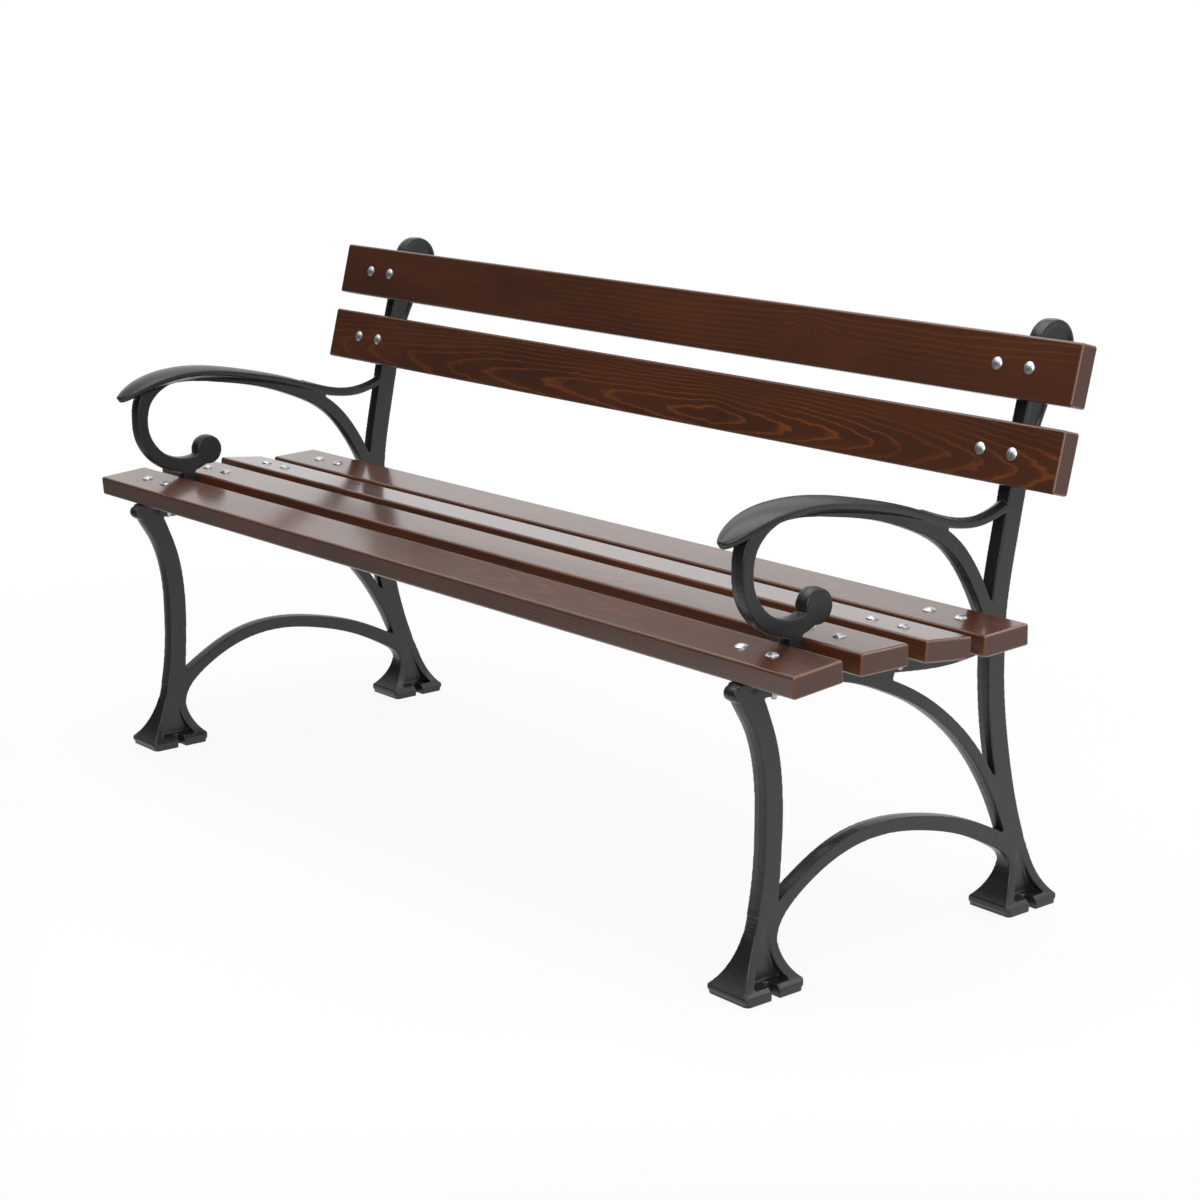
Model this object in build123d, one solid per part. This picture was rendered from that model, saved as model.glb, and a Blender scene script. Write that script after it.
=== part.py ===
from build123d import *
import math
import os

# Park bench: two identical cast-iron end frames carry six bolted timber slats.
# Millimetres, +X along the bench, +Y to the back, +Z up. While the pieces are made, depth is measured
# from the toe of the front foot. At the end everything moves so that the origin is on the floor under
# the middle of the bench.

# Slats
BENCH_LENGTH = 1700.0
SLAT_WIDTH = 87.0
SLAT_THICKNESS = 31.0
SLAT_ROUNDING = 4.0
SLAT_OVERHANG = 111.5

# Seat: the front slat's upper front edge, then each slat against the one before it
SEAT_FRONT_HEIGHT = 460.0
SEAT_SETBACK = 4.0
FIRST_TILT = 4.8
SECOND_TILT = -0.65
THIRD_TILT = -5.9
FOURTH_TILT = 2.15
FIRST_GAP = 33.0
SECOND_GAP = 34.0
THIRD_GAP = 25.0
FIRST_STEP = 2.0
SECOND_STEP = -2.0
THIRD_STEP = -3.5

# Back: the lower slat's lower rear edge, from the seat's rear edge and the post's front
SEAT_TO_POST = 38.5
BACK_RISE = 162.0
BACK_SETBACK = 29.5
BACK_TILT = 14.2
BACK_GAP = 31.0

# End frames, with the pads that the slats are bolted to
FRAME_THICKNESS = 22.0
RAIL_DEPTH = 27.0
PAD_WIDTH = 78.0
PAD_LENGTH = 46.0
PAD_THICKNESS = 9.0
PAD_PROUD = 2.0

# Feet, each with an outer edge that faces away from the bench and an inner edge
FOOT_PITCH = 509.0
FOOT_LENGTH = 108.0
FOOT_WIDTH = 78.0
FOOT_HEIGHT = 92.0
FOOT_PLINTH = 6.5
PLINTH_INSET = 3.0
TOE_LIP = 12.0
HEEL_LIP = 16.0
FOOT_PLATE = 18.0
FOOT_WALL = 21.0
ANKLE_WALL = 15.0
FOOT_CORNER = 7.0
FOOT_LEAN = 6.0
FRONT_ANKLE = 38.0
REAR_ANKLE = 34.0
ANKLE_WIDTH = 43.0
ANKLE_HEIGHT = 72.0
ANCHOR_SLOT_WIDTH = 14.0
ANCHOR_SLOT_DEPTH = 24.0

# Back post with its round head
POST_ROOT = 12.0
POST_ROOT_WIDTH = 37.0
POST_WIDTH = 41.5
POST_HEAD_WIDTH = 73.0
POST_HEAD_RISE = 32.0
PANEL_START = 28.0
PANEL_RIM = 7.0
PANEL_DEPTH = 3.0

# Armrest
ARM_WIDTH = 64.0
ARM_EDGE = 8.0
ARM_CROWN = 6.0
ARM_COVE = 9.0
ARM_ROOT_SHARE = 0.7
ARM_WIDEST = 90.0
ARM_TAPER = 440.0
ARM_SECTIONS = 16
DISC_DIAMETER = 48.0
STUB_WIDTH = 22.0
STUB_FLARE = 32.0
KNOB_DIAMETER = 20.0

# Fasteners
BOLT_SPACING = 57.0
BOLT_DIAMETER = 8.0
BOLT_LENGTH = 58.0
BOLT_HEAD_DIAMETER = 18.0
BOLT_HEAD_HEIGHT = 4.5
BOLT_HEAD_RIM = 1.0
BOLT_NECK = 5.0
BOLT_CHAMFER = 1.0
WASHER_DIAMETER = 16.0
WASHER_THICKNESS = 1.6
NUT_WIDTH = 13.0
NUT_HEIGHT = 6.5
NUT_CHAMFER = 1.0
HOLE_CLEARANCE = 0.5
NUT_CLEARANCE = 0.1

# The casting's members in the side view: depth from the toe, height from the rail's underside, and the
# member's width there. They are drawn for these three sizes and stretch with the feet, the rail and the
# post. A member that ends at an ankle or at the post takes that end from there. The springs of the lower
# arch are drawn from the middle of the ankle they rise from.
DRAWN_PITCH = 509.0
DRAWN_REACH = 481.7
DRAWN_RISE = 402.0
FRONT_LEG = (
    (23, 14, 33), (34.5, -4, 36), (47.5, -29, 32.5), (59, -58, 31.5), (68.5, -98, 31.5), (73.3, -183, 31.5),
    (70.8, -238, 31.5),
)
REAR_LEG = (
    (545.5, -278, 33), (514, -162, 33.5), (500, -71, 33.5), (497.3, -3, 33.5), (499.5, 52, 33.5),
    (507, 102, 33.5), (517, 152, 33.5),
)
LEG_TOP_WIDTH = 33.5
LOWER_ARCH = (
    (124, -267, 19), (200, -232.5, 19.5), (270, -223, 19.5), (360, -234, 20.5), (440, -257, 22.5),
)
ARCH_ROOT_DROP = 18.0
ARCH_ROOT_REACH = 6.0
FRONT_SPRING = ((24, 31, 24),)
REAR_SPRING = ((16, 16, 28), (43, 35.5, 25))
UPPER_ARCH = (
    (140, 11, 20), (230.5, -4, 18), (283, -25, 17.5), (331, -48, 17.5), (392.5, -88.5, 17),
    (452.5, -144.5, 17), (492, -197, 17), (527, -261, 17), (542, -298, 17),
)
ARCH_FOOT = ((502.5, -194, 9), (511, -214, 9))
CROTCH = ((252, -7, 15), (291, -15, 12))
ARM_WEB = (
    (44, 223, 18), (75, 233, 15), (110, 235, 15), (172, 228, 15), (252, 213, 15), (331.5, 189, 20),
    (402, 151, 21.5), (442, 106.5, 21.5), (485, 26.5, 20),
)
FORK = ((340, 189, 20), (391, 174, 14))
SCROLL = (
    (74, 231, 12), (45, 220, 20), (28.5, 204, 23), (20.5, 169, 20), (24.5, 139, 20.5),
    (35.5, 118.5, 21.5), (57, 98, 22), (78, 88.5, 23), (100, 84, 25), (122, 86.5, 24), (142, 96, 22),
)
DISC_CENTRE = (148, 105.5)
KNOB_CENTRE = (9.5, 12.5)
STUB_TOP = 84.0
ARM_CREST = ((-22, 210.5), (17, 234), (92, 251.5), (225, 237), (336, 208), (419, 183.5))
ARM_END_DROP = 19.0
ARM_END_DEPTH = 5.5
RAIL_UNDERSIDE = ((6, 6), (60, 0), (180, 0), (300, -9), (380, -16), (441, -14), (498, -4))


def step(start, angle, along, across):
    """The side-view point reached from start by going along a slope, then square to its upper side."""
    c = math.cos(math.radians(angle))
    s = math.sin(math.radians(angle))
    return (start[0] + along * c - across * s, start[1] + along * s + across * c)


# Each slat as the lower or front edge of its exposed face, and the slope of that face
seat_slats = [((SEAT_SETBACK, SEAT_FRONT_HEIGHT), FIRST_TILT)]
for gap, rise, tilt in (
    (FIRST_GAP, FIRST_STEP, SECOND_TILT),
    (SECOND_GAP, SECOND_STEP, THIRD_TILT),
    (THIRD_GAP, THIRD_STEP, FOURTH_TILT),
):
    rear_edge = step(*seat_slats[-1], SLAT_WIDTH, 0)
    seat_slats.append(((rear_edge[0] + gap, rear_edge[1] + rise), tilt))
seat_rear = step(*seat_slats[-1], SLAT_WIDTH, 0)
stub_depth = (step(*seat_slats[0], SLAT_WIDTH, 0)[0] + seat_slats[1][0][0]) / 2

frame_spacing = BENCH_LENGTH - 2 * SLAT_OVERHANG
post_reach = seat_rear[0] + SEAT_TO_POST
rail_rise = SEAT_FRONT_HEIGHT - SLAT_THICKNESS - RAIL_DEPTH
back_slope = 90 - BACK_TILT
back_root = (post_reach + BACK_SETBACK, seat_rear[1] + BACK_RISE)
back_pitch = SLAT_WIDTH + BACK_GAP
back_slats = [
    (step(back_root, back_slope, row * back_pitch, SLAT_THICKNESS), back_slope) for row in range(2)
]
post_foot = step(back_root, back_slope, 0, -POST_ROOT_WIDTH / 2)
front_ankle = FRONT_ANKLE + ANKLE_WIDTH / 2
rear_ankle = FOOT_PITCH + FOOT_LENGTH - REAR_ANKLE - ANKLE_WIDTH / 2


def place(point):
    """Move a drawn point of the casting with the feet, the rail and the post."""
    depth, height = point[0], point[1]
    share = 1 + min(height, 0) / DRAWN_RISE
    floor_stretch = FOOT_PITCH / DRAWN_PITCH
    stretch = floor_stretch + (post_reach / DRAWN_REACH - floor_stretch) * share
    return (depth * stretch, rail_rise * share + max(height, 0))


def closed_face(*edges):
    """A face inside edges that follow one another, closed with a straight edge."""
    wire = Curve() + list(edges)
    ends = [edges[-1] @ 1, edges[0] @ 0]
    if (ends[0] - ends[1]).length > 1e-6:
        wire = wire + Line(*ends)
    return make_face(wire)


def members():
    """The casting's members, each as points with a depth, a height and a width."""
    drawn = [FRONT_LEG, REAR_LEG, LOWER_ARCH, UPPER_ARCH, ARCH_FOOT, CROTCH, ARM_WEB, FORK, SCROLL]
    placed = [[(*place(point), point[2]) for point in member] for member in drawn]
    front_leg, rear_leg, lower_arch = placed[:3]
    front_leg.append((front_ankle, ANKLE_HEIGHT, ANKLE_WIDTH))
    rear_leg.insert(0, (rear_ankle, ANKLE_HEIGHT, ANKLE_WIDTH))
    rear_leg.append((*post_foot, LEG_TOP_WIDTH))
    root = (ARCH_ROOT_REACH, -ARCH_ROOT_DROP, ANKLE_WIDTH - 2 * ARCH_ROOT_REACH)
    for reach, rise, width in reversed((root, *FRONT_SPRING)):
        lower_arch.insert(0, (front_ankle + reach, ANKLE_HEIGHT + rise, width))
    for reach, rise, width in reversed((root, *REAR_SPRING)):
        lower_arch.append((rear_ankle - reach, ANKLE_HEIGHT + rise, width))
    return placed


def ribbon(points):
    """A member along its middle line, as wide at each point as that point says."""
    middle = Spline(*[point[:2] for point in points])
    upper, lower = [], []
    for depth, height, width in points:
        centre = Vector(depth, height)
        along = middle.tangent_at(middle.param_at_point(centre))
        across = Vector(-along.Y, along.X) * (width / 2)
        upper.append(centre + across)
        lower.append(centre - across)
    far_end = Line(upper[-1], lower[-1])
    return closed_face(Spline(*upper), far_end, Spline(*reversed(lower)))


def foot_face(outer, inward, ankle, hollow):
    """Side view of a foot from its outer edge, or of the hollow between its walls above the base plate."""

    def at(depth, height):
        return (outer + inward * depth, height)

    wall, ankle_wall = (FOOT_WALL, ANKLE_WALL) if hollow else (0, 0)
    toe_lip, heel_lip = (FOOT_PLATE, FOOT_PLATE) if hollow else (TOE_LIP, HEEL_LIP)
    floor = FOOT_PLATE if hollow else 0
    toe, heel = wall, FOOT_LENGTH - wall
    near, far = ankle + ankle_wall, ankle + ANKLE_WIDTH - ankle_wall
    edges = [Line(at(toe, floor), at(heel, floor))]
    if not hollow:
        edges.append(Line(at(heel, floor), at(heel, heel_lip)))
    edges.append(
        Spline(
            at(heel, heel_lip), at(far, ANKLE_HEIGHT),
            tangents=((-inward * 3, 2), (0, 1)), tangent_scalars=(0.6, 1.2),
        )
    )
    top = at(near + FOOT_LEAN, FOOT_HEIGHT)
    edges.append(Polyline(at(far, ANKLE_HEIGHT), at(far, FOOT_HEIGHT), top))
    edges.append(
        Spline(
            top, at(toe, toe_lip),
            tangents=((-inward, -3), (-inward * 2, -1.8)), tangent_scalars=(1.0, 0.9),
        )
    )
    return closed_face(*edges)


def foot(outer, inward, ankle):
    """A flared foot: a middle web between two curved walls on a slotted base plate and a low plinth."""
    half = FOOT_WIDTH / 2
    web = FRAME_THICKNESS / 2
    side = extrude(Plane.YZ * foot_face(outer, inward, ankle, False), half, both=True)
    rise = Spline(
        (half, TOE_LIP), (web, FOOT_HEIGHT), tangents=((-3, 2.4), (0, 1)), tangent_scalars=(0.8, 1.2)
    )
    fall = Spline(
        (-web, FOOT_HEIGHT), (-half, TOE_LIP), tangents=((0, -1), (-3, -2.4)), tangent_scalars=(1.2, 0.8)
    )
    profile = closed_face(
        Line((half, 0), (half, TOE_LIP)),
        rise,
        Line((web, FOOT_HEIGHT), (-web, FOOT_HEIGHT)),
        fall,
        Line((-half, TOE_LIP), (-half, 0)),
    )
    middle = outer + inward * FOOT_LENGTH / 2
    body = side & extrude(Plane.XZ.offset(-middle) * profile, FOOT_LENGTH, both=True)
    plan = RectangleRounded(FOOT_WIDTH, FOOT_LENGTH, FOOT_CORNER)
    plinth = RectangleRounded(FOOT_WIDTH, FOOT_LENGTH - 2 * PLINTH_INSET, FOOT_CORNER)
    block = extrude(plinth, FOOT_HEIGHT) + Pos(0, 0, FOOT_PLINTH) * extrude(plan, FOOT_HEIGHT)
    body &= Pos(0, middle, 0) * block
    pocket = foot_face(outer, inward, ankle, True)
    slot_end = half - ANCHOR_SLOT_DEPTH + ANCHOR_SLOT_WIDTH / 2
    for hand in (1, -1):
        body -= Pos(hand * web, 0, 0) * extrude(Plane.YZ * pocket, hand * half)
        slot = Pos(hand * slot_end, middle, 0) * Cylinder(ANCHOR_SLOT_WIDTH / 2, 3 * FOOT_PLATE)
        slot += Pos(hand * (slot_end + half), middle, 0) * Box(2 * half, ANCHOR_SLOT_WIDTH, 3 * FOOT_PLATE)
        body -= slot & Pos(0, middle, 0) * Box(4 * half, FOOT_LENGTH, 2 * FOOT_PLATE)
    return body


def post_face(inset, start):
    """The straight upper post and its round head, from start upwards along the back's slope."""

    def at(up, behind):
        return step(back_root, back_slope, up, -behind)

    radius = POST_HEAD_WIDTH / 2 - inset
    front = PAD_PROUD + inset
    head = back_pitch + SLAT_WIDTH + POST_HEAD_RISE - POST_HEAD_WIDTH / 2
    waist = SLAT_WIDTH + BACK_GAP / 2
    growth = (POST_WIDTH - POST_ROOT_WIDTH) / waist
    rear_head = front + 2 * radius
    rear_start = POST_ROOT_WIDTH + growth * start - inset
    back_edge = Spline(
        at(head, rear_head), at(waist, POST_WIDTH - inset), at(start, rear_start)
    )
    return closed_face(
        Line(at(start, front), at(head, front)),
        ThreePointArc(at(head, front), at(head + radius, front + radius), at(head, rear_head)),
        back_edge,
    )


def rail_face():
    """The seat rail's web, from its underside to just below the slats."""
    top = []
    for edge, tilt in seat_slats:
        for along in (PAD_PROUD, SLAT_WIDTH - PAD_PROUD):
            top.append(step(edge, tilt, along, -SLAT_THICKNESS - PAD_PROUD))
    underside = Spline(*[place(point) for point in RAIL_UNDERSIDE])
    rear_end = place(RAIL_UNDERSIDE[-1])
    top.append((rear_end[0], top[-1][1]))
    return closed_face(underside, Polyline(rear_end, *reversed(top)))


def armrest():
    """The leaf-shaped, crowned strip along the armrest, sloping in to its web and narrowing into the post."""
    rear_end = step(back_root, back_slope, -ARM_END_DROP, -ARM_END_DEPTH)
    crest = Spline(*[place(point) for point in ARM_CREST], rear_end)
    nose = place(ARM_CREST[0])[0]
    slim = FRAME_THICKNESS / 2
    broad = ARM_WIDTH / 2
    sections = []
    for index in range(ARM_SECTIONS):
        share = 0.004 + 0.996 * (index / (ARM_SECTIONS - 1)) ** 1.6
        centre, along = crest @ share, crest % share
        reach = centre.X - nose
        if reach < ARM_WIDEST:
            half = broad * math.sqrt(1 - (1 - reach / ARM_WIDEST) ** 2)
        elif reach < ARM_TAPER:
            turn = math.pi * (reach - ARM_WIDEST) / (ARM_TAPER - ARM_WIDEST)
            half = slim + (broad - slim) * (1 + math.cos(turn)) / 2
        else:
            half = slim
        crown = ARM_CROWN * math.sqrt(half / broad)
        plane = Plane(
            origin=(0, centre.X, centre.Y), x_dir=(1, 0, 0), z_dir=(0, along.X, along.Y)
        )
        low = crown + ARM_EDGE
        root = min(slim, ARM_ROOT_SHARE * half)
        deep = low + ARM_COVE * (half - root) / (broad - slim)
        outline = closed_face(
            ThreePointArc((-half, crown), (0, 0), (half, crown)),
            Polyline((half, crown), (half, low), (root, deep), (-root, deep), (-half, low)),
        )
        sections.append(plane * outline)
    return loft(sections)


def slat_plane(edge, slope, depth_below):
    """A plane across the middle of a slat, facing as its exposed face does, some way below that face."""
    origin = step(edge, slope, SLAT_WIDTH / 2, -depth_below)
    c = math.cos(math.radians(slope))
    s = math.sin(math.radians(slope))
    return Plane(origin=(0, origin[0], origin[1]), x_dir=(1, 0, 0), z_dir=(0, -s, c))


def end_frame():
    """One casting, about its own middle plane."""
    face = Sketch()
    for member in members():
        face += ribbon(member)
    stub_root = seat_slats[0][0][1] - SLAT_THICKNESS
    stub_top = place((0, STUB_TOP))[1]
    for top_width, low, low_width in (
        (STUB_WIDTH, stub_root, STUB_WIDTH),
        (STUB_FLARE, stub_top - STUB_FLARE / 2, STUB_WIDTH),
    ):
        face += closed_face(
            Polyline(
                (stub_depth - low_width / 2, low),
                (stub_depth + low_width / 2, low),
                (stub_depth + top_width / 2, stub_top),
                (stub_depth - top_width / 2, stub_top),
            )
        )
    face += Pos(*place(DISC_CENTRE)) * Circle(DISC_DIAMETER / 2)
    face += Pos(*place(KNOB_CENTRE)) * Circle(KNOB_DIAMETER / 2)
    face += rail_face()
    face += post_face(0, -POST_ROOT)
    half = FRAME_THICKNESS / 2
    frame = extrude(Plane.YZ * face, half, both=True)
    panel = post_face(PANEL_RIM, PANEL_START)
    for hand in (1, -1):
        frame -= Pos(hand * (half - PANEL_DEPTH), 0, 0) * extrude(Plane.YZ * panel, hand * half)
    frame += foot(0, 1, FRONT_ANKLE)
    frame += foot(FOOT_PITCH + FOOT_LENGTH, -1, REAR_ANKLE)
    frame += armrest()
    hole = BOLT_DIAMETER / 2 + HOLE_CLEARANCE
    for edge, slope in seat_slats + back_slats:
        plane = slat_plane(edge, slope, SLAT_THICKNESS + PAD_THICKNESS / 2)
        frame += plane * Box(PAD_WIDTH, PAD_LENGTH, PAD_THICKNESS)
        for hand in (1, -1):
            frame -= plane * Pos(hand * BOLT_SPACING / 2, 0, 0) * Cylinder(hole, 2 * PAD_THICKNESS)
    return frame


def slat(edge, slope):
    """A board with eased edges, drilled and squared for its four coach bolts."""
    board = Box(BENCH_LENGTH, SLAT_WIDTH, SLAT_THICKNESS)
    board = fillet(board.edges(), min(SLAT_ROUNDING, SLAT_THICKNESS / 3))
    side = BOLT_DIAMETER + 2 * HOLE_CLEARANCE
    for frame_side in (1, -1):
        for hand in (1, -1):
            across = frame_side * frame_spacing / 2 + hand * BOLT_SPACING / 2
            board -= Pos(across, 0, 0) * Cylinder(side / 2, 2 * SLAT_THICKNESS)
            neck = Box(side, side, BOLT_NECK + HOLE_CLEARANCE, align=(Align.CENTER, Align.CENTER, Align.MAX))
            board -= Pos(across, 0, SLAT_THICKNESS / 2) * neck
    return slat_plane(edge, slope, SLAT_THICKNESS / 2) * board


def coach_bolt():
    """A dome-headed bolt with a square neck, its head seated at height zero."""
    high = (Align.CENTER, Align.CENTER, Align.MAX)
    radius = BOLT_HEAD_DIAMETER / 2
    dome = BOLT_HEAD_HEIGHT - BOLT_HEAD_RIM
    ball = (radius ** 2 + dome ** 2) / (2 * dome)
    mid_angle = math.asin(radius / ball) / 2
    middle = (ball * math.sin(mid_angle), BOLT_HEAD_HEIGHT - ball + ball * math.cos(mid_angle))
    profile = closed_face(
        Line((0, 0), (radius, 0)),
        Line((radius, 0), (radius, BOLT_HEAD_RIM)),
        ThreePointArc((radius, BOLT_HEAD_RIM), middle, (0, BOLT_HEAD_HEIGHT)),
    )
    bolt = revolve(Plane.XZ * profile, Axis.Z)
    bolt += Box(BOLT_DIAMETER, BOLT_DIAMETER, BOLT_NECK, align=high)
    shank = Cylinder(BOLT_DIAMETER / 2, BOLT_LENGTH, align=high)
    shank = chamfer(shank.edges().group_by(Axis.Z)[0], BOLT_CHAMFER)
    return bolt + shank


def washer():
    """A flat washer, hanging below height zero."""
    high = (Align.CENTER, Align.CENTER, Align.MAX)
    ring = Cylinder(WASHER_DIAMETER / 2, WASHER_THICKNESS, align=high)
    return ring - Cylinder(BOLT_DIAMETER / 2 + HOLE_CLEARANCE, 3 * WASHER_THICKNESS)


def nut():
    """A hexagon nut, hanging below height zero."""
    high = (Align.CENTER, Align.CENTER, Align.MAX)
    corner = NUT_WIDTH / math.sqrt(3)
    hexagon = Pos(0, 0, -NUT_HEIGHT) * extrude(RegularPolygon(corner, 6), NUT_HEIGHT)
    barrel = Cylinder(corner, NUT_HEIGHT, align=high)
    barrel = chamfer(barrel.edges().filter_by(GeomType.CIRCLE), NUT_CHAMFER)
    return (hexagon & barrel) - Cylinder(BOLT_DIAMETER / 2 + NUT_CLEARANCE, 3 * NUT_HEIGHT)


def fastener_rows(shape, slats, depth_below, frame_side):
    """Copies of a fastener at one frame, two on each slat, some way below the exposed faces."""
    copies = []
    for edge, slope in slats:
        plane = slat_plane(edge, slope, depth_below)
        for hand in (1, -1):
            across = frame_side * frame_spacing / 2 + hand * BOLT_SPACING / 2
            copies.append(Pos(across, 0, 0) * (plane * shape))
    return Compound(children=copies)


pieces = {}
frame = end_frame()
pieces["end_frame_left"] = Pos(-frame_spacing / 2, 0, 0) * frame
pieces["end_frame_right"] = Pos(frame_spacing / 2, 0, 0) * frame
for number, (edge, slope) in enumerate(seat_slats, start=1):
    pieces[f"seat_slat_{number}"] = slat(edge, slope)
for name, (edge, slope) in zip(("lower", "upper"), back_slats):
    pieces[f"back_slat_{name}"] = slat(edge, slope)

pad_underside = SLAT_THICKNESS + PAD_THICKNESS
fasteners = (
    ("bolts", coach_bolt(), 0),
    ("washers", washer(), pad_underside),
    ("nuts", nut(), pad_underside + WASHER_THICKNESS),
)
for part_of, slats in (("seat", seat_slats), ("back", back_slats)):
    for kind, shape, depth_below in fasteners:
        for side, frame_side in (("left", -1), ("right", 1)):
            pieces[f"{part_of}_{kind}_{side}"] = fastener_rows(shape, slats, depth_below, frame_side)

box = Compound(children=[Part() + piece for piece in pieces.values()]).bounding_box()
shift = Pos(0, -(box.min.Y + box.max.Y) / 2, -box.min.Z)
os.makedirs("parts", exist_ok=True)
for name, piece in pieces.items():
    export_step(shift * piece, f"parts/{name}.step")
print("size", box.size, "depth shift", -(box.min.Y + box.max.Y) / 2)
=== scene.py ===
"""Looks of a park bench: two painted cast-iron end frames, six stained slats and their bolts."""

import logging
import math
from dataclasses import dataclass
from enum import Enum
from typing import Any, ClassVar

import bmesh
import bpy
import numpy as np
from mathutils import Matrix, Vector


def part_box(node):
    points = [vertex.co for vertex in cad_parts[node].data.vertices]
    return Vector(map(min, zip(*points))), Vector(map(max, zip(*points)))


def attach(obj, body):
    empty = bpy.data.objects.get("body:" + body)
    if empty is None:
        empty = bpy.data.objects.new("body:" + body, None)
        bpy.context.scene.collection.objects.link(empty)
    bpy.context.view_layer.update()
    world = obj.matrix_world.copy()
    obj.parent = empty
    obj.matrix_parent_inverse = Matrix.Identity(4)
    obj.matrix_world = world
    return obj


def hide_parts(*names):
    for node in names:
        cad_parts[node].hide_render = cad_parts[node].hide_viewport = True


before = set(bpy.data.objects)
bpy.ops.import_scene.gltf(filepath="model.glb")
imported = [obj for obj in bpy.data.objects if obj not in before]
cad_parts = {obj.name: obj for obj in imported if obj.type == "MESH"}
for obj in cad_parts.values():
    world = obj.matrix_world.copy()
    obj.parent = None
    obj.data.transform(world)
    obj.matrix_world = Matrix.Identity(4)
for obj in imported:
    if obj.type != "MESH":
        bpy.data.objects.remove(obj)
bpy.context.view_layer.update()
log = logging.getLogger("bench")

Colour = tuple[float, float, float]
Point = tuple[float, float, float]
Span = tuple[float, float]

WHITE: Colour = (1.0, 1.0, 1.0)
MIDDLE = 0.5


class Side(Enum):
    """The two ends of the bench, as seen from the front."""

    LEFT = "left"
    RIGHT = "right"


class Slot(Enum):
    """The record's finishes."""

    CASTING = "casting"
    TIMBER = "timber"
    ZINC = "zinc"


@dataclass(frozen=True)
class Clouds:
    """A noise: its clouds to a metre each way, where they start and how many finer layers they have."""

    scale: Point
    seed: float
    detail: float


class Value:
    """A number that varies over a surface, with operators that add Math nodes."""

    def __init__(self, shader: "Shader", socket: bpy.types.NodeSocket) -> None:
        """Wrap an output socket.

        Args:
            shader: The node tree's builder.
            socket: The output that carries the number.
        """
        self.shader = shader
        self.socket = socket

    def _join(self, operation: str, *terms: "Value | float") -> "Value":
        """Add one Math node.

        Args:
            operation: The Math node's operation.
            terms: The numbers or values that it takes.

        Returns:
            The result.
        """
        sockets = dict(enumerate(terms))
        return self.shader.value("ShaderNodeMath", {"operation": operation}, sockets)

    def __add__(self, other: "Value | float") -> "Value":
        """The sum."""
        return self._join("ADD", self, other)

    def __radd__(self, other: float) -> "Value":
        """The sum with a number first."""
        return self._join("ADD", other, self)

    def __sub__(self, other: "Value | float") -> "Value":
        """The difference."""
        return self._join("SUBTRACT", self, other)

    def __rsub__(self, other: float) -> "Value":
        """The difference with a number first."""
        return self._join("SUBTRACT", other, self)

    def __mul__(self, other: "Value | float") -> "Value":
        """The product."""
        return self._join("MULTIPLY", self, other)

    def __rmul__(self, other: float) -> "Value":
        """The product with a number first."""
        return self._join("MULTIPLY", other, self)

    def __truediv__(self, other: "Value | float") -> "Value":
        """The quotient."""
        return self._join("DIVIDE", self, other)

    def __rtruediv__(self, other: float) -> "Value":
        """The quotient with a number first."""
        return self._join("DIVIDE", other, self)

    def __pow__(self, power: float) -> "Value":
        """A power."""
        return self._join("POWER", self, power)

    def __abs__(self) -> "Value":
        """The size without the sign."""
        return self._join("ABSOLUTE", self)

    def fraction(self) -> "Value":
        """What is left after the whole number."""
        return self._join("FRACT", self)

    def most(self, other: "Value | float") -> "Value":
        """The larger of two."""
        return self._join("MAXIMUM", self, other)

    def rise(self, low: float, high: float) -> "Value":
        """A soft step from 0 at low to 1 at high.

        Args:
            low: Where the step starts.
            high: Where it ends.

        Returns:
            The step.
        """
        settings = {"interpolation_type": "SMOOTHSTEP"}
        sockets = {"Value": self, "From Min": low, "From Max": high}
        return self.shader.value("ShaderNodeMapRange", settings, sockets)


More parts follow.
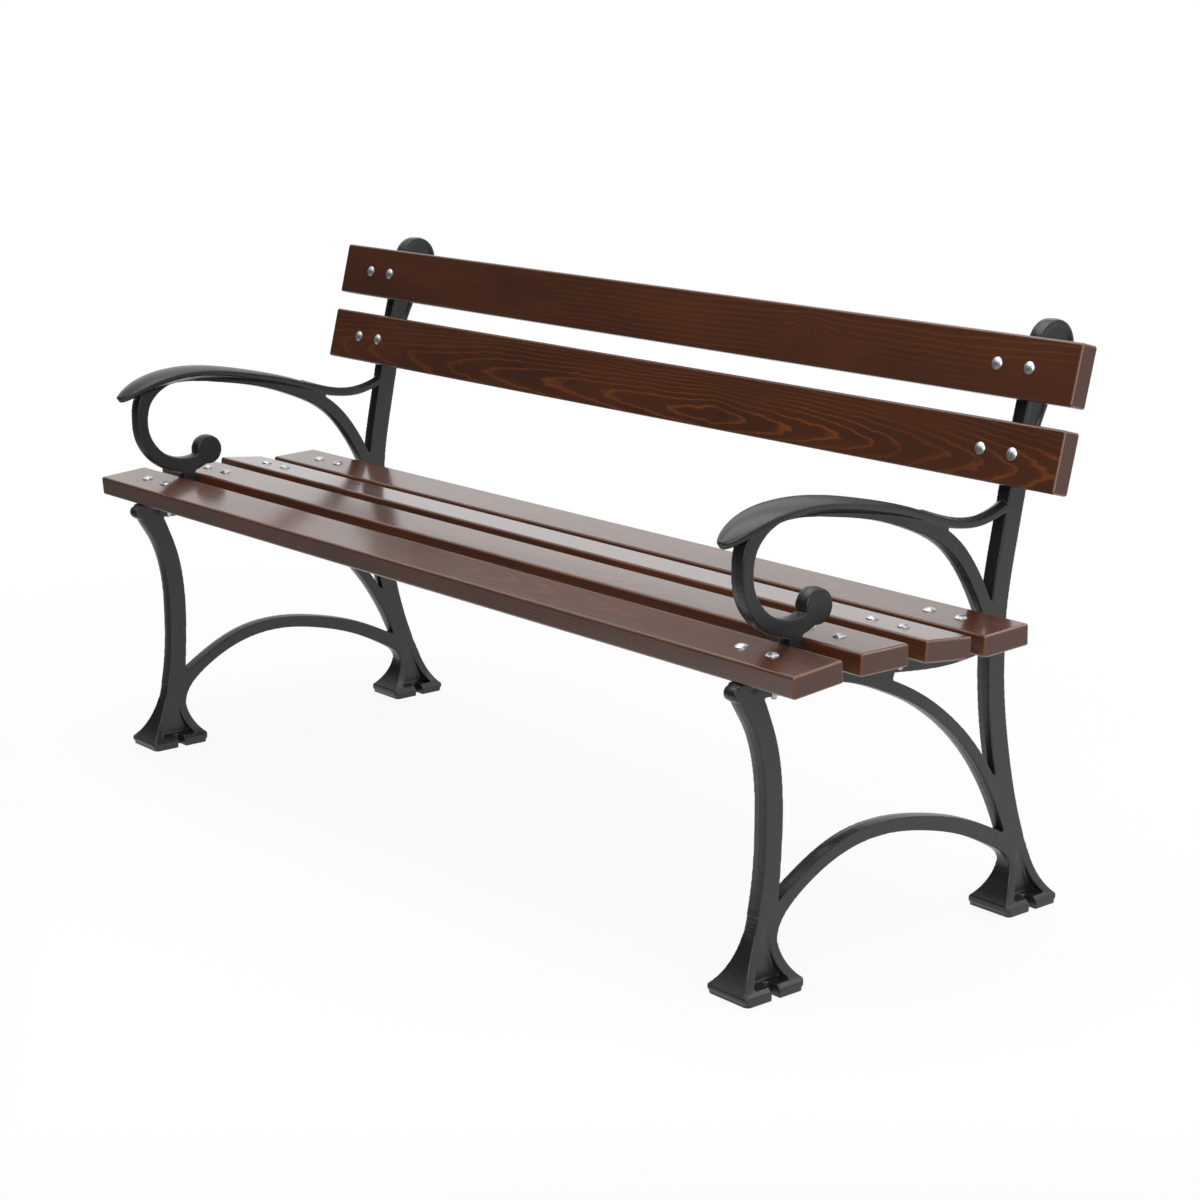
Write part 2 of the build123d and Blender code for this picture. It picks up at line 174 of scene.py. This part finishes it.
class Shader:
    """Builds the nodes of one material or of the world."""

    MIX_FACTOR = 0
    MIX_FIRST = 6
    MIX_SECOND = 7
    MIX_RESULT = 2
    SEED_STEPS = (1.0, 1.7, 2.3)

    def __init__(self, owner: bpy.types.Material | bpy.types.World) -> None:
        """Start with an empty node tree.

        Args:
            owner: The material or world.
        """
        owner.use_nodes = True
        self.tree = owner.node_tree
        self.tree.nodes.clear()

    def node(
        self,
        kind: str,
        settings: dict[str, Any] | None = None,
        sockets: dict[str | int, Any] | None = None,
    ) -> bpy.types.Node:
        """Add a node.

        Args:
            kind: The node's type.
            settings: Its own settings, which are set first.
            sockets: A number, a colour, a value or a link for each input.

        Returns:
            The node.
        """
        made = self.tree.nodes.new(kind)
        for name, setting in (settings or {}).items():
            setattr(made, name, setting)
        for name, given in (sockets or {}).items():
            target = made.inputs[name]
            source = given.socket if isinstance(given, Value) else given
            if isinstance(source, bpy.types.NodeSocket):
                self.tree.links.new(source, target)
            elif target.type == "RGBA":
                target.default_value = (*source, 1.0)
            else:
                target.default_value = source
        return made

    def value(
        self,
        kind: str,
        settings: dict[str, Any] | None = None,
        sockets: dict[str | int, Any] | None = None,
        output: str | int = 0,
    ) -> Value:
        """Add a node and take one of its outputs as a value.

        Args:
            kind: The node's type.
            settings: Its own settings.
            sockets: What its inputs get.
            output: Which output to take.

        Returns:
            The value.
        """
        return Value(self, self.node(kind, settings, sockets).outputs[output])

    def ray(self, kind: str) -> Value:
        """Tell one kind of ray from the others.

        Args:
            kind: The kind of ray.

        Returns:
            1 for that kind and 0 for the others.
        """
        return self.value("ShaderNodeLightPath", output=f"Is {kind} Ray")

    def noise(self, place: bpy.types.NodeSocket, clouds: Clouds, shift: float = 0.0) -> Value:
        """Cloudy noise from about 0 to 1.

        Args:
            place: The point on the surface.
            clouds: The noise's clouds.
            shift: Moves the clouds, so that no two boards have the same ones.

        Returns:
            The noise.
        """
        seed = clouds.seed + shift
        start = tuple(step * seed for step in self.SEED_STEPS)
        shifted = self.node(
            "ShaderNodeVectorMath",
            {"operation": "MULTIPLY_ADD"},
            {0: place, 1: clouds.scale, 2: start},
        )
        sockets = {"Vector": shifted.outputs[0], "Scale": 1.0, "Detail": clouds.detail}
        return self.value("ShaderNodeTexNoise", None, sockets)

    def parts(self, vector: bpy.types.NodeSocket) -> tuple[Value, Value, Value]:
        """The three numbers of a vector.

        Args:
            vector: The vector.

        Returns:
            Its X, Y and Z.
        """
        split = self.node("ShaderNodeSeparateXYZ", None, {0: vector})
        return tuple(Value(self, output) for output in split.outputs)

    def blend(self, first: Any, second: Any, share: Value | float) -> bpy.types.NodeSocket:
        """Mix two colours.

        Args:
            first: The colour where share is 0.
            second: The colour where share is 1.
            share: How much of the second shows.

        Returns:
            The mixed colour.
        """
        sockets = {self.MIX_FACTOR: share, self.MIX_FIRST: first, self.MIX_SECOND: second}
        mixed = self.node("ShaderNodeMix", {"data_type": "RGBA"}, sockets)
        return mixed.outputs[self.MIX_RESULT]

    def relief(self, height: Value, depth: float, strength: float) -> bpy.types.NodeSocket:
        """A Bump node's normal.

        Args:
            height: The relief, from about 0 to 1.
            depth: What a height of 1 stands for, in metres.
            strength: How much of it is used.

        Returns:
            The normal.
        """
        sockets = {"Height": height, "Distance": depth, "Strength": strength}
        return self.node("ShaderNodeBump", None, sockets).outputs[0]

    def surface(self, sockets: dict[str | int, Any]) -> None:
        """Finish a material with one Principled shader.

        Args:
            sockets: What the shader's inputs get.
        """
        skin = self.node("ShaderNodeBsdfPrincipled", None, sockets)
        self.node("ShaderNodeOutputMaterial", None, {"Surface": skin.outputs[0]})


@dataclass(frozen=True)
class CastPaint:
    """Satin charcoal paint over the fine skin of a sand casting."""

    FINE: ClassVar[Clouds] = Clouds((620.0,) * 3, 3.1, 3.0)
    BROAD: ClassVar[Clouds] = Clouds((90.0,) * 3, 7.7, 2.0)
    DUSTY: ClassVar[Clouds] = Clouds((14.0,) * 3, 1.3, 3.0)

    colour: Colour = (0.0125, 0.0128, 0.0134)
    dust: Colour = (0.026, 0.026, 0.027)
    # Painted highlight: the lighter grey that sharp convex edges get, in flecks.
    painted_edge_highlight: Colour = (0.060, 0.060, 0.062)
    dust_rise: Span = (0.45, 0.85)
    dust_share: float = 0.45
    edge_rise: Span = (0.53, 0.60)
    highlight_share: float = 0.25
    edge_fleck: float = 0.5
    roughness: float = 0.30
    dust_roughness: float = 0.10
    fine_roughness: float = 0.16
    fine_height: float = 0.6
    broad_height: float = 0.8
    depth: float = 0.00035
    strength: float = 0.45

    def material(self) -> bpy.types.Material:
        """Mix the paint.

        Returns:
            The material.
        """
        made = bpy.data.materials.new("charcoal_cast_paint")
        shader = Shader(made)
        place = shader.node("ShaderNodeTexCoord").outputs["Object"]
        fine = shader.noise(place, self.FINE)
        broad = shader.noise(place, self.BROAD)
        cloud = shader.noise(place, self.DUSTY)
        point = shader.value("ShaderNodeNewGeometry", output="Pointiness")
        # Painted highlight: sharp convex edges, found by pointiness, get the lighter grey, broken into
        # flecks by the fine noise.
        edge = point.rise(*self.edge_rise) * (self.highlight_share + self.edge_fleck * fine)
        tone = shader.blend(self.colour, self.dust, cloud.rise(*self.dust_rise) * self.dust_share)
        tone = shader.blend(tone, self.painted_edge_highlight, edge)
        roughness = self.roughness + self.dust_roughness * (cloud - MIDDLE)
        height = fine * self.fine_height + broad * self.broad_height
        shader.surface(
            {
                "Base Color": tone,
                "Roughness": roughness + self.fine_roughness * (fine - MIDDLE),
                "Normal": shader.relief(height, self.depth, self.strength),
            }
        )
        return made


@dataclass(frozen=True)
class Grain:
    """How one board was cut from its log, in the board's own metres.

    The pith is given across and below the board's middle at the crest, where it comes nearest to
    the exposed face. From there it falls away towards the left and the right end. The contrast is
    given at those two ends; where they differ, the board turns lighter and redder towards the right,
    partly its own figure and partly painted light. A knot is given along and across the board, with its
    height.
    """

    pith: Span
    crest: float
    fall: Span
    sway: Span
    ring: float
    contrast: Span
    seed: float
    knot: Point = (0.0, 0.0, 0.0)


@dataclass(frozen=True)
class Stain:
    """Mahogany stain under satin lacquer: soft wood takes it dark, the late rings stay lighter."""

    STREAK: ClassVar[Clouds] = Clouds((9.0, 620.0, 620.0), 5.0, 3.0)
    CLOUD: ClassVar[Clouds] = Clouds((3.2, 16.0, 16.0), 9.0, 3.0)
    BRUSH: ClassVar[Clouds] = Clouds((5.0, 190.0, 190.0), 13.0, 2.0)
    PORES: ClassVar[Clouds] = Clouds((40.0, 900.0, 900.0), 17.0, 3.0)
    DRIFT: ClassVar[Clouds] = Clouds((2.2, 0.0, 0.0), 0.0, 1.0)
    DIP: ClassVar[Clouds] = Clouds((1.6, 0.0, 0.0), 3.0, 1.0)
    WAVE: ClassVar[Clouds] = Clouds((9.0, 42.0, 42.0), 7.0, 2.0)
    RIPPLE: ClassVar[Clouds] = Clouds((46.0, 130.0, 130.0), 8.0, 2.0)
    PATCH: ClassVar[Clouds] = Clouds((2.2, 9.0, 9.0), 11.0, 2.0)

    dark: Colour = (0.058, 0.0195, 0.0095)
    body: Colour = (0.098, 0.0285, 0.0110)
    ring: Colour = (0.330, 0.0880, 0.0190)
    # Painted highlight: the lighter warm colour of the board's edges.
    edge: Colour = (0.210, 0.0850, 0.0420)
    end: Colour = (0.076, 0.0310, 0.0195)
    end_pore: Colour = (0.049, 0.0190, 0.0120)
    cloud_rise: Span = (0.30, 0.70)
    cloud_share: float = 0.8
    streak_share: float = 0.25
    ring_share: float = 0.65
    ring_streak: float = 0.7
    # Where and how strongly the painted highlight lies along the edges: full on the ends' edges, weaker
    # on the long edges.
    highlight_band: Span = (0.0045, 0.0008)
    highlight_share: float = 0.35
    edge_brush: float = 0.5
    long_edge: float = 0.3
    butt_rise: Span = (0.75, 0.95)
    pore_rise: Span = (0.42, 0.62)
    pore_share: float = 0.8
    pore_ring: float = 0.2
    gloss: float = 0.13
    brush_roughness: float = 0.10
    brush_middle: float = 0.4
    end_roughness: float = 0.42
    haze: float = 0.50
    haze_roughness: float = 0.38
    streak_height: float = 0.5
    brush_height: float = 0.4
    ring_height: float = 0.5
    depth: float = 0.00028
    strength: float = 0.30
    wave_height: float = 0.0060
    ripple_height: float = 0.0024
    late_rise: Span = (0.54, 0.86)
    late_power: float = 1.8
    late_stop: Span = (0.88, 0.97)
    patch_rise: Span = (0.25, 0.60)
    contrast_rise: Span = (-0.7, 0.4)
    knot_stretch: float = 0.45
    knot_wave: float = 0.016
    knot_ripple: float = 0.010
    knot_tightness: float = 9000.0

    def material(self, board: "Slat") -> bpy.types.Material:
        """The material of one board.

        Args:
            board: The board, which gives the place and the run of the grain.

        Returns:
            The material.
        """
        made = bpy.data.materials.new(f"mahogany_stain_{board.node}")
        shader = Shader(made)
        grain = board.grain
        place = shader.node("ShaderNodeTexCoord").outputs["Object"]
        turn = (math.radians(board.tilt), 0, 0)
        local = shader.node(
            "ShaderNodeMapping",
            {"vector_type": "TEXTURE"},
            {"Vector": place, "Location": board.centre(), "Rotation": turn},
        ).outputs[0]
        late = self._rings(shader, local, grain)
        streak = shader.noise(local, self.STREAK, grain.seed)
        cloud = shader.noise(local, self.CLOUD, grain.seed)
        brush = shader.noise(local, self.BRUSH, grain.seed)
        pores = shader.noise(local, self.PORES, grain.seed)
        soft = cloud.rise(*self.cloud_rise) * self.cloud_share
        tone = shader.blend(self.dark, self.body, soft + self.streak_share * (streak - MIDDLE))
        bright = self.ring_share + self.ring_streak * (streak - MIDDLE)
        tone = shader.blend(tone, self.ring, late * bright)
        normal = shader.node("ShaderNodeNewGeometry").outputs["Normal"]
        butt = abs(shader.parts(normal)[0]).rise(*self.butt_rise)
        pitted = pores.rise(*self.pore_rise) * self.pore_share + self.pore_ring * late
        cut = shader.blend(self.end, self.end_pore, pitted)
        tone = shader.blend(tone, cut, butt)
        # Painted highlight: the edges get a lighter warm colour, full on the edges of the ends and
        # weaker on the long edges, in place of rounded edges catching the light.
        painted_edge_highlight = self._highlighted_edges(shader, local, board) * (self.highlight_share + self.edge_brush * brush)
        roughness = self.gloss + self.brush_roughness * (brush - self.brush_middle)
        height = self.streak_height * streak + self.brush_height * brush
        height = height + self.ring_height * late
        shader.surface(
            {
                "Base Color": shader.blend(tone, self.edge, painted_edge_highlight),
                "Roughness": roughness + butt * (self.end_roughness - self.gloss),
                "Normal": shader.relief(height, self.depth, self.strength),
                "Coat Weight": self.haze * (1 - butt),
                "Coat Roughness": self.haze_roughness,
            }
        )
        return made

    def _highlighted_edges(self, shader: Shader, local: bpy.types.NodeSocket, board: "Slat") -> Value:
        """The board's edges, where a lighter colour is painted as a highlight.

        Args:
            shader: The material's builder.
            local: The point in the board's own directions.
            board: The board.

        Returns:
            1 on the edges of the ends, less on the long edges and 0 elsewhere.
        """
        sizes = (board.length, board.width, board.thickness)
        start, stop = self.highlight_band
        end, side, face = (
            abs(way).rise(size / 2 - start, size / 2 - stop)
            for way, size in zip(shader.parts(local), sizes)
        )
        return (end * side).most(end * face).most(self.long_edge * side * face)

    def _rings(self, shader: Shader, local: bpy.types.NodeSocket, grain: Grain) -> Value:
        """The late wood of the growth rings, which lie round a pith that sways along the board.

        Args:
            shader: The material's builder.
            local: The point in the board's own directions.
            grain: How the board was cut.

        Returns:
            The contrast on a late ring and 0 between them.
        """
        along, across, through = shader.parts(local)
        drift = shader.noise(local, self.DRIFT, grain.seed)
        dip = shader.noise(local, self.DIP, grain.seed)
        wave = shader.noise(local, self.WAVE, grain.seed)
        ripple = shader.noise(local, self.RIPPLE, grain.seed)
        patch = shader.noise(local, self.PATCH, grain.seed)
        to_left = grain.fall[0] * (grain.crest - along)
        to_right = grain.fall[1] * (along - grain.crest)
        aside = across - grain.pith[0] - grain.sway[0] * (drift - MIDDLE)
        below = through - grain.pith[1] - grain.sway[1] * (dip - MIDDLE) + to_left.most(to_right)
        radius = (aside * aside + below * below) ** 0.5
        radius = radius + self.wave_height * (wave - MIDDLE)
        radius = radius + self.ripple_height * (ripple - MIDDLE)
        knot_along = self.knot_stretch * (along - grain.knot[0]) + self.knot_wave * (wave - MIDDLE)
        knot_across = across - grain.knot[1] + self.knot_ripple * (ripple - MIDDLE)
        apart = knot_along * knot_along + knot_across * knot_across
        radius = radius + grain.knot[2] / (1 + apart * self.knot_tightness)
        turn = (radius / grain.ring).fraction()
        late = turn.rise(*self.late_rise) ** self.late_power * (1 - turn.rise(*self.late_stop))
        # Where the two ends' contrasts differ, the board turns lighter and redder towards the right:
        # partly its own figure, partly painted light.
        left, right = grain.contrast
        contrast = left + (right - left) * along.rise(*self.contrast_rise)
        return late * patch.rise(*self.patch_rise) * contrast


@dataclass(frozen=True)
class Plating:
    """Bright zinc plating with a faint cloud."""

    CLOUD: ClassVar[Clouds] = Clouds((240.0,) * 3, 2.0, 3.0)
    FINE: ClassVar[Clouds] = Clouds((1900.0,) * 3, 4.0, 2.0)

    colour: Colour = (0.70, 0.71, 0.73)
    dull: Colour = (0.44, 0.45, 0.47)
    dull_rise: Span = (0.40, 0.75)
    roughness: float = 0.36
    cloud_roughness: float = 0.18
    depth: float = 0.00006
    strength: float = 0.25

    def material(self) -> bpy.types.Material:
        """Make the plating.

        Returns:
            The material.
        """
        made = bpy.data.materials.new("bright_zinc_plating")
        shader = Shader(made)
        place = shader.node("ShaderNodeTexCoord").outputs["Object"]
        cloud = shader.noise(place, self.CLOUD)
        fine = shader.noise(place, self.FINE)
        shader.surface(
            {
                "Base Color": shader.blend(self.colour, self.dull, cloud.rise(*self.dull_rise)),
                "Metallic": 1.0,
                "Roughness": self.roughness + self.cloud_roughness * (cloud - MIDDLE),
                "Normal": shader.relief(fine, self.depth, self.strength),
            }
        )
        return made


@dataclass
class Slat:
    """One board, which keeps its solid's mesh."""

    node: str
    tilt: float
    grain: Grain
    length: float = 1.700
    width: float = 0.087
    thickness: float = 0.031

    def centre(self) -> Point:
        """Find the middle of the board.

        Returns:
            The point.
        """
        low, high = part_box(self.node)
        return tuple((low + high) / 2)

    def dress(self, finish: Stain) -> bpy.types.Object:
        """Give the board its stain.

        Args:
            finish: The stain.

        Returns:
            The board.
        """
        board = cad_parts[self.node]
        dress(board, finish.material(self))
        return board


@dataclass
class EndFrame:
    """One casting: the solid's form with the soft edges and the parting line of a casting."""

    NEIGHBOURS: ClassVar[tuple[int, ...]] = (-1, 0, 1)

    side: Side
    half_web: float = 0.011
    wide_share: float = 1.2
    edge_slope: float = 0.35
    foot_top: float = 0.095
    ankle: Span = (0.080, 0.106)
    ankle_rounds: int = 30
    ridge: float = 0.0014
    cell: float = 0.004
    weld: float = 1e-6
    voxel: float = 0.0014
    rounds: int = 3
    firmness: float = 0.5

    def build(self, finish: bpy.types.Material) -> bpy.types.Object:
        """Make the casting in place of its solid.

        Args:
            finish: The paint.

        Returns:
            The casting.
        """
        node = f"end_frame_{self.side.value}"
        casting = bpy.data.objects.new(f"casting_{self.side.value}", self._welded(node))
        bpy.context.scene.collection.objects.link(casting)
        skin = casting.modifiers.new("skin", "REMESH")
        skin.mode = "VOXEL"
        skin.voxel_size = self.voxel
        skin.use_smooth_shade = True
        ease = casting.modifiers.new("ease", "SMOOTH")
        ease.factor = self.firmness
        ease.iterations = self.rounds
        graph = bpy.context.evaluated_depsgraph_get()
        mesh = bpy.data.meshes.new_from_object(casting.evaluated_get(graph))
        casting.modifiers.clear()
        casting.data = mesh
        self._ease_ankles(mesh)
        self._part(mesh, node)
        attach(casting, "root")
        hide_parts(node)
        dress(casting, finish)
        return casting

    def _welded(self, node: str) -> bpy.types.Mesh:
        """A closed copy of a solid's mesh.

        Args:
            node: The solid's name.

        Returns:
            The copy.
        """
        copy = bmesh.new()
        copy.from_mesh(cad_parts[node].data)
        bmesh.ops.remove_doubles(copy, verts=copy.verts[:], dist=self.weld)
        mesh = bpy.data.meshes.new(f"casting_{self.side.value}")
        copy.to_mesh(mesh)
        copy.free()
        return mesh

    def _ease_ankles(self, mesh: bpy.types.Mesh) -> None:
        """Blend the top of each foot into the leg above it.

        Args:
            mesh: The casting, which is changed.
        """
        copy = bmesh.new()
        copy.from_mesh(mesh)
        low, high = self.ankle
        ring = [vertex for vertex in copy.verts if low < vertex.co.z < high]
        for _ in range(self.ankle_rounds):
            bmesh.ops.smooth_vert(copy, verts=ring, factor=self.firmness, use_axis_y=True)
        copy.to_mesh(mesh)
        copy.free()

    def _part(self, mesh: bpy.types.Mesh, node: str) -> None:
        """Raise the parting line that a mould in two halves leaves round the edges of the members.

        It stays off the pads, the feet and the armrest, which are wider than the web.

        Args:
            mesh: The casting, which is changed.
            node: The solid whose box the casting stays in.
        """
        places = np.empty((len(mesh.vertices), 3))
        normals = np.empty((len(mesh.vertices), 3))
        mesh.vertices.foreach_get("co", places.ravel())
        mesh.vertices.foreach_get("normal", normals.ravel())
        low, high = (np.array(corner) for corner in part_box(node))
        share = np.abs(places[:, 0] - (low[0] + high[0]) / 2) / self.half_web
        cells = np.floor(places[:, 1:] / self.cell).astype(int)
        wide = np.unique(cells[share > self.wide_share], axis=0)
        near = {
            (row + down, column + over)
            for row, column in wide
            for down in self.NEIGHBOURS
            for over in self.NEIGHBOURS
        }
        free = np.array([tuple(cell) not in near for cell in cells])
        edge = np.clip(1 - np.abs(normals[:, 0]) / self.edge_slope, 0, 1)
        clear = np.clip((places[:, 2] - self.foot_top) / self.foot_top, 0, 1)
        lift = self.ridge * np.clip(1 - share, 0, 1) * free * edge * clear
        places = np.clip(places + normals * lift[:, None], low, high)
        mesh.vertices.foreach_set("co", places.ravel())


@dataclass
class Fasteners:
    """The bolts, washers and nuts, which keep their solids' meshes."""

    kinds: tuple[str, ...] = ("bolts", "washers", "nuts")
    places: tuple[str, ...] = ("seat", "back")

    def dress(self, finish: bpy.types.Material) -> list[bpy.types.Object]:
        """Give every fastener its plating.

        Args:
            finish: The plating.

        Returns:
            The fasteners.
        """
        made = []
        for part in self.places:
            for kind in self.kinds:
                for side in Side:
                    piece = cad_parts[f"{part}_{kind}_{side.value}"]
                    dress(piece, finish)
                    made.append(piece)
        return made


@dataclass(frozen=True)
class Lamp:
    """One soft square lamp, with its side in metres and its power in watts."""

    name: str
    place: Point
    target: Point
    size: float
    power: float

    def hang(self) -> None:
        """Hang the lamp and turn it to its target."""
        lamp = bpy.data.lights.new(self.name, "AREA")
        lamp.shape = "SQUARE"
        lamp.size = self.size
        lamp.energy = self.power
        hung = bpy.data.objects.new(self.name, lamp)
        hung.location = self.place
        hung.rotation_mode = "QUATERNION"
        way = Vector(self.target) - Vector(self.place)
        hung.rotation_quaternion = way.to_track_quat("-Z", "Y")
        bpy.context.scene.collection.objects.link(hung)


@dataclass
class Studio:
    """A white floor and backdrop, soft lamps round the bench, and the camera."""

    floor_size: float = 60.0
    floor_white: float = 0.80
    floor_dim: float = 0.14
    length_share: float = 0.6
    shadow_share: float = 0.12
    shadow_fade: Span = (0.8, 1.9)
    camera_side: Span = (0.76, 0.65)
    camera_fade: Span = (1.0, 1.7)
    front_slant: float = 0.5
    front_fade: Span = (0.85, 1.30)
    front_share: float = 0.9
    sheet_fade: Span = (1.35, 2.7)
    sheet_share: float = 0.90
    back_light: float = 1.0
    front_light: float = 0.04
    behind_rise: Span = (-0.25, 0.35)
    above_rise: Span = (0.35, 0.85)
    above_share: float = 0.75
    mirrored_rise: Span = (0.3, 0.65)
    mirrored_share: float = 0.6
    camera_place: Point = (3.0033, -2.43416, 1.2938)
    camera_way: Point = (-0.7421, 0.6271, -0.2367)
    camera_reach: float = 200.0
    lens: float = 76.53
    sensor: float = 36.0
    lamps: tuple[Lamp, ...] = (
        Lamp("overhead", (-0.3, -0.2, 3.2), (0.0, 0.0, 0.3), 2.6, 42.0),
        Lamp("front", (2.6, -2.2, 2.6), (0.5, 0.0, 0.5), 1.6, 24.0),
        Lamp("beside_camera", (4.5, -2.3, 1.9), (0.3, 0.0, 0.45), 3.6, 100.0),
        Lamp("behind", (1.6, 1.9, 2.5), (0.4, 0.0, 0.3), 1.0, 9.0),
    )

    def floor(self) -> None:
        """Lay a white sheet that keeps a faint shadow, on a floor that is dim towards the camera."""
        half = self.floor_size / 2
        mesh = bpy.data.meshes.new("floor")
        corners = [(-half, -half, 0), (half, -half, 0), (half, half, 0), (-half, half, 0)]
        mesh.from_pydata(corners, [], [(0, 1, 2, 3)])
        floor = bpy.data.objects.new("floor", mesh)
        bpy.context.scene.collection.objects.link(floor)
        mesh.materials.append(self._paper())

    def _paper(self) -> bpy.types.Material:
        """Make the floor's white.

        Returns:
            The material.
        """
        made = bpy.data.materials.new("white_floor")
        shader = Shader(made)
        place = shader.node("ShaderNodeTexCoord").outputs["Object"]
        along, depth = shader.parts(place)[:2]
        distance = (along * along * self.length_share + depth * depth) ** 0.5
        near = 1 - distance.rise(*self.shadow_fade)
        right, ahead = self.camera_side
        outside = (right * along - ahead * depth).rise(*self.camera_fade)
        before = (0 - depth - self.front_slant * along).rise(*self.front_fade)
        outside = outside.most(self.front_share * before)
        tone = shader.blend((self.floor_white,) * 3, (self.floor_dim,) * 3, outside)
        sheet = (1 - outside) * (1 - self.sheet_share * distance.rise(*self.sheet_fade))
        mirrored = shader.ray("Glossy") * sheet
        white = shader.ray("Camera").most(mirrored).most(shader.ray("Transmission"))
        share = white * (1 - self.shadow_share * near)
        paper = shader.node("ShaderNodeBsdfDiffuse", None, {"Color": tone})
        glow = shader.node("ShaderNodeEmission", None, {"Color": WHITE, "Strength": 1.0})
        sockets = {0: share, 1: paper.outputs[0], 2: glow.outputs[0]}
        mixed = shader.node("ShaderNodeMixShader", None, sockets)
        shader.node("ShaderNodeOutputMaterial", None, {"Surface": mixed.outputs[0]})
        return made

    def surroundings(self) -> None:
        """Put a white backdrop behind the bench and a dimmer room in front of it."""
        world = bpy.data.worlds.new("studio")
        bpy.context.scene.world = world
        shader = Shader(world)
        way = shader.node("ShaderNodeTexCoord").outputs["Generated"]
        depth, height = shader.parts(way)[1:]
        behind = depth.rise(*self.behind_rise)
        bright = behind.most(self.above_share * height.rise(*self.above_rise))
        light = self.front_light + (self.back_light - self.front_light) * bright
        shown = behind.most(self.mirrored_share * height.rise(*self.mirrored_rise))
        mirrored = shader.ray("Glossy") * shown
        white = shader.ray("Camera").most(mirrored).most(shader.ray("Transmission"))
        strength = light + white * (1 - light)
        sockets = {"Color": WHITE, "Strength": strength}
        glow = shader.node("ShaderNodeBackground", None, sockets)
        shader.node("ShaderNodeOutputWorld", None, {"Surface": glow.outputs[0]})

    def light(self) -> None:
        """Hang the lamps."""
        for lamp in self.lamps:
            lamp.hang()

    def camera(self) -> None:
        """Stand the camera where the photograph was taken from."""
        lens = bpy.data.cameras.new("camera")
        lens.lens = self.lens
        lens.sensor_width = self.sensor
        lens.clip_end = self.camera_reach
        camera = bpy.data.objects.new("camera", lens)
        camera.location = self.camera_place
        camera.rotation_mode = "QUATERNION"
        camera.rotation_quaternion = Vector(self.camera_way).to_track_quat("-Z", "Y")
        bpy.context.scene.collection.objects.link(camera)
        bpy.context.scene.camera = camera


def dress(piece: bpy.types.Object, finish: bpy.types.Material) -> None:
    """Give a piece one finish.

    Args:
        piece: The piece.
        finish: Its material.
    """
    if not piece.material_slots:
        piece.data.materials.append(finish)
    for place in piece.material_slots:
        place.material = finish


SEAT_CONTRAST: Span = (0.32, 0.32)
BACK_TILT = 75.8

SLATS = (
    Slat(
        node="seat_slat_1",
        tilt=4.8,
        grain=Grain(
            pith=(0.004, -0.050),
            crest=-0.20,
            fall=(0.04, 0.03),
            sway=(0.020, 0.034),
            ring=0.0046,
            contrast=SEAT_CONTRAST,
            seed=11.0,
        ),
    ),
    Slat(
        node="seat_slat_2",
        tilt=-0.65,
        grain=Grain(
            pith=(-0.012, -0.064),
            crest=0.35,
            fall=(0.03, 0.05),
            sway=(0.026, 0.030),
            ring=0.0050,
            contrast=SEAT_CONTRAST,
            seed=23.0,
        ),
    ),
    Slat(
        node="seat_slat_3",
        tilt=-5.9,
        grain=Grain(
            pith=(0.010, -0.056),
            crest=0.05,
            fall=(0.03, 0.04),
            sway=(0.020, 0.028),
            ring=0.0044,
            contrast=SEAT_CONTRAST,
            seed=37.0,
        ),
    ),
    Slat(
        node="seat_slat_4",
        tilt=2.15,
        grain=Grain(
            pith=(0.000, -0.060),
            crest=-0.40,
            fall=(0.04, 0.03),
            sway=(0.024, 0.034),
            ring=0.0048,
            contrast=SEAT_CONTRAST,
            seed=41.0,
        ),
    ),
    # The back slats' contrast rises towards the right: partly the boards' own figure, partly painted
    # light.
    Slat(
        node="back_slat_lower",
        tilt=BACK_TILT,
        grain=Grain(
            pith=(-0.021, -0.005),
            crest=0.18,
            fall=(0.040, 0.070),
            sway=(0.012, 0.014),
            ring=0.0052,
            contrast=(0.34, 0.90),
            seed=53.0,
        ),
    ),
    Slat(
        node="back_slat_upper",
        tilt=BACK_TILT,
        grain=Grain(
            pith=(0.105, -0.045),
            crest=-0.60,
            fall=(0.02, 0.015),
            sway=(0.020, 0.020),
            ring=0.0072,
            contrast=(0.08, 0.34),
            seed=67.0,
            knot=(0.34, 0.012, 0.024),
        ),
    ),
)


def main() -> None:
    """Build and dress the bench, then set the studio."""
    logging.basicConfig(level=logging.INFO, format="%(name)s: %(message)s")
    bpy.context.scene.view_settings.view_transform = "Standard"
    stain = Stain()
    for slat in SLATS:
        log.info("stained %s", slat.dress(stain).name)
    paint = CastPaint().material()
    for side in Side:
        casting = EndFrame(side).build(paint)
        log.info("cast %s with %d faces", casting.name, len(casting.data.polygons))
    for piece in Fasteners().dress(Plating().material()):
        log.info("plated %s", piece.name)
    studio = Studio()
    studio.floor()
    studio.surroundings()
    studio.light()
    studio.camera()


if __name__ == "__main__":
    main()
